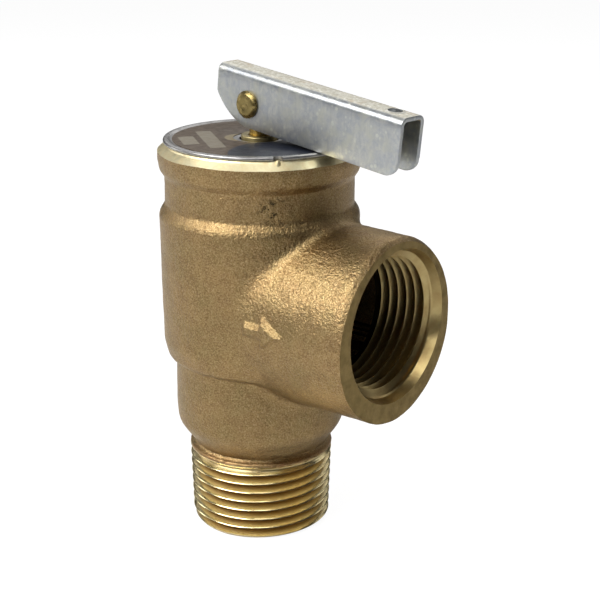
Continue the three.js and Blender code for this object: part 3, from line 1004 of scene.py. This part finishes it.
def faced_bronze():
    """The outlet's faced end, dull with faint circular marks about the socket."""
    look = Look("faced_bronze", (0.30, 0.23, 0.12), 0.42)
    centre = (OUTLET_FACE, BORE_Y, BORE_Z)
    rings = look.math("SINE", look.math("MULTIPLY", look.distance(centre), 2 * math.pi / (0.22 * MM)))
    patch = look.noise(2.2, 3, 0.6)
    look.color(look.mix(look.ramp(patch, 0.35, 0.7), (0.30, 0.21, 0.075), (0.21, 0.145, 0.05)))
    look.roughness(look.ramp(patch, 0.3, 0.7, 0.36, 0.5))
    look.bump(rings, 0.004, 0.5)
    look.bump(look.noise(0.5, 2, 0.5), 0.025)
    return look.material


def inner_shade_bronze():
    """The inside of the body, painted dark as the shade inside the cavity."""
    look = Look("inner_shade_bronze", (0.05, 0.035, 0.018), 0.5)
    stain = look.noise(2, 3, 0.6)
    look.color(look.mix(stain, (0.07, 0.048, 0.024), (0.03, 0.02, 0.01)))
    look.roughness(look.ramp(stain, 0.3, 0.7, 0.45, 0.65))
    look.bump(look.noise(0.5, 2, 0.5), 0.03)
    return look.material


def turned_brass(name="turned_brass", color=(0.66, 0.46, 0.14), roughness=0.22):
    look = Look(name, color, roughness)
    stain = look.noise(1.3, 3, 0.6)
    darker = tuple(0.72 * c for c in color)
    look.color(look.mix(look.ramp(stain, 0.35, 0.7), color, darker))
    look.roughness(look.ramp(stain, 0.3, 0.7, roughness * 0.8, roughness * 1.5))
    look.bump(look.noise(0.3, 3, 0.6, place=look.stretched((0.15, 0.15, 1))), 0.012)
    look.bump(look.noise(1.1, 2, 0.5), 0.03)
    return look.material


def zinc_sheet():
    """Plated sheet: pale spangle, drawn streaks, rub marks and a pale yellow tint on the top, made lighter on
    the upward faces as painted light.
    """
    look = Look("zinc_sheet", (0.40, 0.41, 0.41), 0.34)
    across = look.stretched((1.0, 1.0, 0.22))
    spangle = look.noise(1.4, 4, 0.7, distortion=0.6)
    streaks = look.noise(0.5, 3, 0.65, place=across)
    patch = look.noise(3.2, 3, 0.6)
    bloom = look.ramp(look.cells(1.1), 0.22, 0.34, 0.55, 0)
    spread = look.ramp(look.noise(6, 2), 0.42, 0.6)
    upward = look.ramp(look.axis(2, look.nodes.new("ShaderNodeNewGeometry").outputs["Normal"]), 0.85, 0.99)
    tone = look.mix(look.ramp(spangle, 0.35, 0.68), (0.44, 0.465, 0.50), (0.62, 0.625, 0.59))
    tone = look.mix(look.ramp(streaks, 0.48, 0.7, 0, 0.45), tone, (0.36, 0.39, 0.43))
    tone = look.mix(look.ramp(patch, 0.48, 0.64, 0, 0.5), tone, (0.57, 0.575, 0.495))
    tone = look.mix(look.math("MULTIPLY", bloom, spread), tone, (0.76, 0.78, 0.69))
    # Upward faces get pale yellow tones: a real tint, made lighter as painted light on the top.
    top_tint_and_light = look.mix(look.ramp(look.noise(0.7, 3, 0.7), 0.38, 0.66), (0.56, 0.52, 0.39), (0.92, 0.90, 0.80))
    top_tint_and_light = look.mix(look.ramp(look.noise(3, 3, 0.7), 0.55, 0.75, 0, 0.5), top_tint_and_light, (0.55, 0.38, 0.19))
    tone = look.mix(look.math("MULTIPLY", upward, 0.9), tone, top_tint_and_light)
    look.color(tone)
    look.roughness(look.ramp(spangle, 0.3, 0.7, 0.30, 0.46))
    look.bump(streaks, 0.02)
    look.bump(spangle, 0.02)
    return look.material


def plate_steel(name="plate_steel", color=(0.46, 0.45, 0.44), roughness=0.3):
    look = Look(name, color, roughness)
    scuff = look.noise(1.2, 4, 0.65)
    darker = tuple(0.7 * c for c in color)
    look.color(look.mix(look.ramp(scuff, 0.35, 0.7), color, darker))
    look.roughness(look.ramp(scuff, 0.3, 0.7, roughness * 0.8, roughness * 1.4))
    look.bump(look.noise(0.4, 3, 0.6), 0.012)
    return look.material


def box_mask(look, centre, half, angle):
    """1 inside a rectangle on the label, turned by angle, else 0."""
    turn = look.nodes.new("ShaderNodeVectorRotate")
    turn.rotation_type = "Z_AXIS"
    look.links.new(look.place, turn.inputs["Vector"])
    turn.inputs["Center"].default_value = (centre[0] * MM, centre[1] * MM, 0)
    turn.inputs["Angle"].default_value = -angle
    spans = []
    for index in (0, 1):
        along = look.math("SUBTRACT", look.axis(index, turn.outputs[0]), centre[index] * MM)
        spans.append(look.math("LESS_THAN", look.math("ABSOLUTE", along), half[index] * MM))
    return look.math("MULTIPLY", *spans)


def label_film():
    """A printed film: brown ground, two blank pale panels and a blank blue-black roundel."""
    look = Look("label_film", (0.09, 0.06, 0.035), 0.4, 0.0)
    mottle = look.noise(1.5, 4, 0.6)
    tone = look.mix(look.ramp(mottle, 0.3, 0.7), (0.10, 0.066, 0.036), (0.062, 0.04, 0.022))
    panels = look.math(
        "MAXIMUM",
        box_mask(look, (-7.9, -10.1), (3.4, 1.4), math.radians(-37)),
        box_mask(look, (-5.6, -6.9), (7.3, 1.4), math.radians(-37)),
    )
    tone = look.mix(panels, tone, (0.21, 0.18, 0.13))
    pale = look.math("LESS_THAN", look.distance((-2.3, -2.0, 0), flat=True), 3.2 * MM)
    tone = look.mix(pale, tone, (0.24, 0.19, 0.105))
    roundel = look.math("LESS_THAN", look.distance((12, -7, 0), flat=True), 10.1 * MM)
    tone = look.mix(roundel, tone, (0.018, 0.022, 0.034))
    look.color(tone)
    look.roughness(look.ramp(mottle, 0.3, 0.7, 0.34, 0.5))
    look.bump(look.noise(2.2, 3, 0.6), 0.02)
    look.shader.inputs["Specular IOR Level"].default_value = 0.35
    return look.material


def dull(name, color, roughness, size=0.8):
    """Rubber, fibre, or the disc holder's near-black, which is painted shade."""
    look = Look(name, color, roughness, 0.0)
    speck = look.noise(size, 3, 0.6)
    darker = tuple(0.6 * c for c in color)
    look.color(look.mix(speck, color, darker))
    look.roughness(look.ramp(speck, 0.3, 0.7, roughness * 0.85, min(1, roughness * 1.15)))
    look.bump(speck, 0.03)
    return look.material


# ---------------------------------------------------------------- the studio
LAMP_DISTANCE = 0.6
LAMP_AIM = Vector((0.006, 0, 0.045))
CAMERA_PLACE = (0.15621, -0.18553, 0.12386)
CAMERA_TURN = (38.36, 18.48, 0.25)
FOCAL_LENGTH = 82.65


def add_camera():
    data = bpy.data.cameras.new("camera")
    data.sensor_width = 36
    data.lens = FOCAL_LENGTH
    data.clip_start = 0.01
    azimuth, elevation, roll = (math.radians(a) for a in CAMERA_TURN)
    camera = bpy.data.objects.new("camera", data)
    camera.matrix_world = (
        Matrix.Translation(CAMERA_PLACE)
        @ Matrix.Rotation(azimuth, 4, "Z")
        @ Matrix.Rotation(math.pi / 2 - elevation, 4, "X")
        @ Matrix.Rotation(roll, 4, "Z")
    )
    bpy.context.scene.collection.objects.link(camera)
    bpy.context.scene.camera = camera


def add_light(name, azimuth, elevation, size, power):
    """A soft lamp 0.6 m from the valve that faces it and isn't seen itself."""
    data = bpy.data.lights.new(name, "AREA")
    data.shape = "RECTANGLE"
    data.size, data.size_y = size
    data.energy = power
    light = bpy.data.objects.new(name, data)
    turn, tilt = math.radians(azimuth), math.radians(elevation)
    away = Vector((math.cos(turn) * math.cos(tilt), math.sin(turn) * math.cos(tilt), math.sin(tilt)))
    light.location = LAMP_AIM + away * LAMP_DISTANCE
    light.rotation_euler = away.to_track_quat("Z", "Y").to_euler()
    light.visible_camera = False
    bpy.context.scene.collection.objects.link(light)


def add_backdrop():
    """White to the eye, and dim to the valve, so that the lamps shape the metal."""
    world = bpy.data.worlds.new("studio")
    bpy.context.scene.world = world
    world.use_nodes = True
    nodes, links = world.node_tree.nodes, world.node_tree.links
    strength = nodes.new("ShaderNodeMapRange")
    links.new(nodes.new("ShaderNodeLightPath").outputs["Is Camera Ray"], strength.inputs["Value"])
    strength.inputs["To Min"].default_value = 0.03
    strength.inputs["To Max"].default_value = 1.0
    links.new(strength.outputs["Result"], nodes["Background"].inputs["Strength"])
    nodes["Background"].inputs["Color"].default_value = (1, 1, 1, 1)


def add_floor():
    """A pale floor, lifted to the backdrop's white for the eye alone."""
    far = 4000
    corners = [(-far, -far, 0), (far, -far, 0), (far, far, 0), (-far, far, 0)]
    floor = add_object("floor", corners, [(0, 1, 2, 3)])
    floor.location.z = -0.0001
    look = Look("floor", (0.8, 0.8, 0.8), 0.8, 0.0)
    seen = look.nodes.new("ShaderNodeLightPath").outputs["Is Camera Ray"]
    pale = look.mix(look.noise(40, 2), (0.81, 0.81, 0.805), (0.79, 0.79, 0.79))
    look.color(look.mix(seen, pale, (0.12, 0.12, 0.12)))
    look.shader.inputs["Specular IOR Level"].default_value = 0.1
    look.shader.inputs["Emission Color"].default_value = (1, 1, 1, 1)
    look.put(look.shader.inputs["Emission Strength"], look.math("MULTIPLY", seen, 0.96))
    floor.data.materials.append(look.material)


def add_studio():
    add_backdrop()
    add_floor()
    add_light("key", -110, 42, (0.5, 0.3), 3.6)
    add_light("top", -40, 65, (0.3, 0.3), 0.8)
    add_light("left", -165, 13, (0.2, 0.25), 0.42)
    add_light("spark", -72, 30, (0.05, 0.05), 0.1)
    add_light("right", 65, 20, (0.25, 0.25), 0.16)
    add_light("back", 130, 42, (0.8, 0.5), 1.4)
    bpy.context.scene.view_settings.view_transform = "Standard"


# ---------------------------------------------------------------- the valve
def build():
    brass, steel = turned_brass(), plate_steel()
    wire = plate_steel("spring_steel", (0.30, 0.31, 0.32), 0.28)
    skins = [
        cast_bronze(),
        thread_bronze(),
        faced_bronze(),
        inner_shade_bronze(),
        chamfer_bronze(),
        socket_bronze(),
    ]
    casting = finish_piece(valve_body(), "valve_body", skins, ["valve_body"])
    paint_body(casting.data)

    seat_low, seat_high = (corner.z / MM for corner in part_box("spring"))
    pieces = [
        (cap_plate(), "valve_body", "plate_steel", steel, "cap_plate"),
        (cap_label(), "valve_body", "label_film", label_film(), "cap_label"),
        (
            compression_screw(),
            "valve_body",
            "turned_brass",
            # A duller, darker copy of the turned brass for the neck: olive finish, and darker as painted
            # shade under the lever.
            turned_brass("shaded_neck_brass", (0.45, 0.37, 0.18), 0.34),
            "compression_screw",
        ),
        (
            seal_ring(),
            "valve_body",
            "black_rubber",
            dull("black_rubber", (0.02, 0.02, 0.02), 0.6),
            "stem_o_ring",
        ),
        (
            ring("lock_collar", 10.5, 14.6, 70.5, 71.5, 0.15),
            "valve_body",
            "turned_brass",
            brass,
            "lock_ring",
        ),
        (
            ring("gasket_disc", 4.0, 14.6, 71.87, 72.67),
            "valve_body",
            "gasket_fibre",
            dull("gasket_fibre", (0.12, 0.14, 0.12), 0.85, 0.4),
            "cap_gasket",
        ),
        (
            spring_seat("upper_seat", seat_high, -1),
            "valve_body",
            "plate_steel",
            steel,
            "upper_spring_washer",
        ),
        (
            spring_seat("lower_seat", seat_low, 1),
            "disc_group",
            "plate_steel",
            steel,
            "lower_spring_washer",
        ),
        (
            disc_holder(),
            "disc_group",
            "holder_coating",
            # Near-black disc holder: painted shade deep in the body.
            dull("holder_coating", (0.012, 0.012, 0.012), 0.5),
            "disc_holder",
        ),
        (
            valve_disc(),
            "disc_group",
            "disc_rubber",
            dull("disc_rubber", (0.35, 0.10, 0.06), 0.7),
            "valve_disc",
        ),
        (
            ring("disc_washer", 0.0, 10.3, 33.0, 33.55, 0.0),
            "disc_group",
            "plate_steel",
            steel,
            "disc_backing_washer",
        ),
        (
            ring("disc_clip", 9.95, 10.9, 30.4, 30.95, 0.12, gap=3),
            "disc_group",
            "spring_steel",
            wire,
            "disc_retaining_ring",
        ),
        (stem(), "stem_group", "turned_brass", brass, "stem"),
        (
            ring("stem_ring", 1.5, 3.4, 42.5, 43.0, 0.1, gap=1.8),
            "stem_group",
            "spring_steel",
            wire,
            "stem_clip",
        ),
        (lever(), "lever_group", "zinc_sheet", zinc_sheet(), "lever"),
        (
            rivet(),
            "lever_group",
            "turned_brass",
            turned_brass("rivet_brass", (0.34, 0.26, 0.10), 0.25),
            "lever_rivet",
        ),
        (rivet_washer(), "lever_group", "turned_brass", brass, "rivet_washer"),
    ]
    for piece, body, slot, material, node in pieces:
        finish_piece(piece, body, [material], [node])
    coil = finish_piece(coil_spring(), "valve_body", [wire], ["spring"])
    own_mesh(coil)


add_camera()
add_studio()
build()
